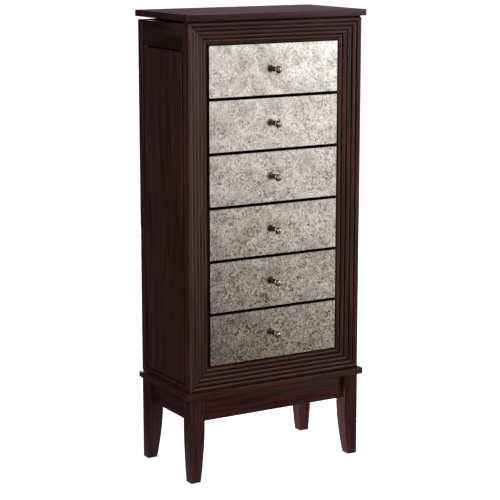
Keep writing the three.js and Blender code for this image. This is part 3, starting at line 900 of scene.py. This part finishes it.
def make_hinge_leaf(word, part):
    """One leaf of a butt hinge: its plate, its knuckles and its screws."""
    node = f"lid_hinge_{word}_{part}_leaf"
    low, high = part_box(node)
    joint = next(j for j in frame["joints"] if j["name"] == "lid_hinge")
    axis_y, axis_z = joint["pos_m"][1], joint["pos_m"][2]
    barrel, pin, plate = 2.9 * MM, 1.5 * MM, 1.6 * MM
    middle = (low.x + high.x) / 2
    width = high.x - low.x
    knuckle = width / 3
    sign = 1 if part == "lid" else -1
    face = high.z if part == "lid" else low.z
    z0, z1 = sorted((face, face - sign * plate))
    bm = bmesh.new()
    clear = axis_y - barrel - 0.4 * MM
    add_box(bm, (low.x, low.y, z0), (high.x, clear, z1), 0.3 * MM)
    outer = (-knuckle, knuckle)
    centres, half = (outer, knuckle / 2) if part == "casing" else ((0.0,), knuckle / 2 - 0.3 * MM)
    for centre in centres:
        x = middle + centre
        link_low = (x - half, clear - 1 * MM, z0)
        add_box(bm, link_low, (x + half, axis_y - barrel * 0.55, z1), 0.2 * MM)
        ease = 0.3 * MM
        profile = ((barrel - ease, -half), (barrel, -half + ease), (barrel, half - ease))
        profile += ((barrel - ease, half),)
        turned(bm, profile, towards(Vector((x, axis_y, axis_z)), (1, 0, 0)), 28)
    if part == "casing":
        tip = width / 2 + 0.6 * MM
        ease = 0.4 * MM
        profile = ((pin * 0.7, -tip), (pin, ease - tip), (pin, tip - ease), (pin * 0.7, tip))
        turned(bm, profile, towards(Vector((middle, axis_y, axis_z)), (1, 0, 0)), 16)
    y = (low.y + clear) / 2
    surface = (z0 if part == "lid" else z1) - sign * SCREW_PROUD
    for share in (-0.36, 0.0, 0.36):
        at = Vector((middle + share * width, y, surface))
        add_screw(bm, towards(at, Vector((0, 0, -sign))), 2.3 * MM)
    body = "lid" if part == "lid" else "casing"
    piece(f"{node}_plate", bm, body, [steel], [node], smooth=35)


def make_lid():
    low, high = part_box("lid")
    slab = eased_slab(low, high, 4 * MM, 1.2 * MM)
    lid = piece("lid_slab", slab, "lid", [espresso[X]], ["lid"], smooth=40)
    glass_low, glass_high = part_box("lid_mirror")
    gap = 0.3 * MM
    pocket = bmesh.new()
    pocket_low = Vector((glass_low.x - gap, glass_low.y - gap, low.z - 1 * MM))
    add_box(pocket, pocket_low, glass_high + Vector((gap, gap, gap)), 0)
    cut(lid, pocket)
    glass = boards((glass_low, glass_high), ease=1.0 * MM)
    piece("lid_glass", glass, "lid", [clear_mirror], ["lid_mirror"], smooth=20)
    for word, _ in SIDES:
        for part in ("casing", "lid"):
            make_hinge_leaf(word, part)


def make_ring_cushion():
    """Foam rolls under velvet, lying side by side and pressed together where they meet."""
    low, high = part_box("ring_cushion")
    rolls, sides, steps = 9, 28, 26
    lift, side_gap, flattened, sag_depth = 1 * MM, 0.05 * MM, 0.2, 0.35 * MM
    squarer_side, squarer_top = 0.7, 0.75
    pitch = (high.y - low.y) / rolls
    half_height = (high.z - low.z - lift) / 2
    half_width = pitch / 2 - side_gap
    base = low.z + lift
    bm = bmesh.new()
    for roll in range(rolls):
        centre = low.y + (roll + 0.5) * pitch
        rings = []
        for step in range(steps + 1):
            share = step / steps
            u = 0.5 - 0.5 * math.cos(math.pi * share)
            end = (1 - (2 * u - 1) ** 6) ** 0.5
            narrowing, lowering = 0.35 + 0.65 * end, 0.55 + 0.45 * end
            sag = sag_depth * noise.noise(Vector((roll * 3.1, u * 7.0, 0.0)))
            ring = []
            for i in range(sides):
                angle = 2 * math.pi * i / sides
                c, s = math.cos(angle), math.sin(angle)
                wide = math.copysign(abs(c) ** squarer_side, c) * half_width
                tall = math.copysign(abs(s) ** squarer_top, s) * half_height
                y = centre + wide * narrowing
                z = base + (half_height + tall) * lowering
                z += sag if s > flattened else 0
                ring.append((low.x + (high.x - low.x) * (0.002 + 0.996 * u), y, z))
            rings.append(ring)
        loft(bm, rings)
    name = "ring_cushion_rolls"
    cushion = piece(name, bm, "casing", [velvet], ["ring_cushion"], smooth=60)


def make_felt_rest_and_gap_shade():
    """A dark felt strip along the top of the frame, which the lid closes against; it is also a
    dark sheet that stands in for the shade in the gap under the lid's front.
    """
    low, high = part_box("frame_top")
    lid_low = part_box("lid")[0]
    a = Vector((low.x + 1.5 * MM, low.y + 4 * MM, high.z))
    b = Vector((high.x - 1.5 * MM, high.y - 2 * MM, lid_low.z - 0.5 * MM))
    piece("felt_rest_and_gap_shade", boards((a, b), ease=0.5 * MM), "casing", [velvet])


def make_tray():
    low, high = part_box("tray_floor")
    lining_low = Vector((low.x + 0.5 * MM, low.y + 0.5 * MM, high.z))
    lining_high = Vector((high.x - 0.5 * MM, high.y - 0.5 * MM, high.z + 0.8 * MM))
    bm = boards((lining_low, lining_high), ease=0.3 * MM)
    piece("tray_lining", bm, "casing", [velvet])
    make_ring_cushion()


# ---------------------------------------------------------------- stage, light, camera


def camera_ray_mix(tree, seen, unseen):
    """One shader for the camera and another for light that bounces."""
    path = add(tree, "ShaderNodeLightPath").outputs["Is Camera Ray"]
    return add(tree, "ShaderNodeMixShader", {0: path, 1: unseen, 2: seen}).outputs[0]


def make_floor():
    """White to the camera; to the chest, grey with a dark band that runs forwards from it."""
    bm = bmesh.new()
    bmesh.ops.create_grid(bm, x_segments=1, y_segments=1, size=40)
    mesh = bpy.data.meshes.new("floor")
    bm.to_mesh(mesh)
    bm.free()
    material = bpy.data.materials.new("floor")
    material.use_nodes = True
    tree = material.node_tree
    tree.nodes.clear()
    pale = add(tree, "ShaderNodeBsdfDiffuse", {"Color": (0.7, 0.7, 0.7, 1)}).outputs[0]
    glow = add(tree, "ShaderNodeEmission", {"Color": (1, 1, 1, 1), "Strength": 0.92}).outputs[0]
    seen = add(tree, "ShaderNodeAddShader", {0: pale, 1: glow}).outputs[0]
    place = add(tree, "ShaderNodeTexCoord").outputs["Object"]
    split = add(tree, "ShaderNodeSeparateXYZ", {"Vector": place})

    def share(value, low, high):
        inputs = {"Value": value, "From Min": low, "From Max": high}
        return add(tree, "ShaderNodeMapRange", inputs).outputs["Result"]

    band_slant = 0.25
    across = calculate(tree, "MULTIPLY", split.outputs["Y"], band_slant)
    across = calculate(tree, "ADD", split.outputs["X"], across)
    bounced = ramp(
        tree,
        share(across, -1.6, 3.0),
        (0.0, (0.62, 0.60, 0.57)),
        (0.12, (0.5, 0.485, 0.46)),
        (0.27, (0.34, 0.33, 0.30)),
        (0.33, (0.07, 0.062, 0.05)),
        (0.39, (0.18, 0.158, 0.125)),
        (0.44, (0.36, 0.325, 0.27)),
        (0.49, (0.50, 0.455, 0.395)),
        (0.54, (0.58, 0.54, 0.475)),
        (0.63, (0.77, 0.735, 0.68)),
        (0.77, (1.0, 0.97, 0.93)),
    )
    dark, near, far = (0.05, 0.05, 0.05), (0.45, 0.45, 0.45), (0.74, 0.74, 0.75)
    bounced = blend_colours(tree, share(split.outputs["Y"], -0.6, 0.3), bounced, dark)
    distant = share(split.outputs["Y"], -5.0, -7.5)
    bounced = blend_colours(tree, distant, bounced, far, "MULTIPLY")
    outwards = add(tree, "ShaderNodeVectorMath", {0: place}, operation="LENGTH").outputs["Value"]
    bounced = blend_colours(tree, share(outwards, 0.2, 0.42), near, bounced)
    dull = add(tree, "ShaderNodeEmission", {"Color": bounced}).outputs[0]
    surface = camera_ray_mix(tree, seen, dull)
    add(tree, "ShaderNodeOutputMaterial", {"Surface": surface})
    mesh.materials.append(material)
    floor = bpy.data.objects.new("floor", mesh)
    bpy.context.scene.collection.objects.link(floor)


def make_world():
    """White to the camera; for light, a room that is brightest at the far left and front right."""
    world = bpy.data.worlds.new("studio")
    world.use_nodes = True
    tree = world.node_tree
    tree.nodes.clear()
    white = add(tree, "ShaderNodeBackground", {"Color": (1, 1, 1, 1), "Strength": 1.0}).outputs[0]
    direction = add(tree, "ShaderNodeTexCoord").outputs["Generated"]
    split = add(tree, "ShaderNodeSeparateXYZ", {"Vector": direction})

    def reach(axis, edges, values):
        inputs = {"Value": split.outputs[axis], "From Min": edges[0], "From Max": edges[1]}
        inputs.update({"To Min": values[0], "To Max": values[1]})
        return add(tree, "ShaderNodeMapRange", inputs).outputs["Result"]

    front = reach("Y", (-0.75, 0.25), (1.0, 0.0))
    right = reach("X", (0.0, 0.6), (0.15, 0.78))
    left = reach("X", (-0.5, -0.15), (0.55, 0.0))
    behind = reach("Y", (0.3, 1.0), (0.0, 0.06))
    beside = reach("X", (-0.1, 0.4), (0.0, 1.0))
    total = calculate(tree, "MULTIPLY", front, right)
    for part in (
        reach("X", (-1.0, -0.55), (1.1, 0.0)),
        calculate(tree, "MULTIPLY", front, left),
        calculate(tree, "MULTIPLY", behind, beside),
        reach("X", (0.2, 1.0), (0.0, 0.3)),
        reach("Z", (0.3, 1.0), (0.0, 0.3)),
    ):
        total = calculate(tree, "ADD", total, part)
    room = add(tree, "ShaderNodeBackground", {"Color": (1, 1, 1, 1), "Strength": total}).outputs[0]
    add(tree, "ShaderNodeOutputWorld", {"Surface": camera_ray_mix(tree, white, room)})
    bpy.context.scene.world = world


def soft_box(name, at, aim, width, height, power):
    """A rectangular light at one place, aimed at another, in watts."""
    light = bpy.data.lights.new(name, "AREA")
    light.shape, light.size, light.size_y, light.energy = "RECTANGLE", width, height, power
    obj = bpy.data.objects.new(name, light)
    obj.location = at
    obj.rotation_euler = (Vector(aim) - Vector(at)).to_track_quat("-Z", "Y").to_euler()
    obj.visible_camera = False
    bpy.context.scene.collection.objects.link(obj)


def make_studio():
    """The stage and its lights; the leg light is a small one under the chest."""
    make_floor()
    make_world()
    soft_box("right_softbox", (3.2, -2.8, 1.65), (0.3, 0, 0.8), 2.2, 2.2, 34)
    soft_box("front_softbox", (-0.6, -3.4, 1.3), (0, 0, 0.6), 0.4, 1.8, 12)
    soft_box("top_softbox", (0.25, 0.25, 2.6), (0, 0, 1), 0.9, 0.9, 34)
    soft_box("highlight_softbox", (1.5, -2.4, 2.2), (0, 0, 0.6), 0.35, 0.35, 4)
    soft_box("rear_softbox", (0.9, 2.8, 0.5), (0, 0, 0.5), 1.2, 0.8, 40)
    soft_box("leg_light", (-0.1, -0.07, 0.07), (0.2, 0.08, 0.08), 0.04, 0.06, 1.3)


def make_camera():
    """A long lens at the front left, a little above the chest and looking down on it."""
    downwards, rightwards = math.radians(11.31), math.radians(30.57)
    data = bpy.data.cameras.new("camera")
    data.lens, data.sensor_width = 119.8, 36.0
    camera = bpy.data.objects.new("camera", data)
    camera.location = (-1.866, -3.1545, 1.213)
    camera.rotation_euler = (math.pi / 2 - downwards, 0, -rightwards)
    bpy.context.scene.collection.objects.link(camera)
    bpy.context.scene.camera = camera
    bpy.context.scene.view_settings.view_transform = "Standard"


# ---------------------------------------------------------------- the chest

make_stand()
make_front_frame()
make_carcass()
make_doors()
for number in DRAWERS:
    make_drawer(number)
make_lid()
make_felt_rest_and_gap_shade()
make_tray()
make_studio()
make_camera()
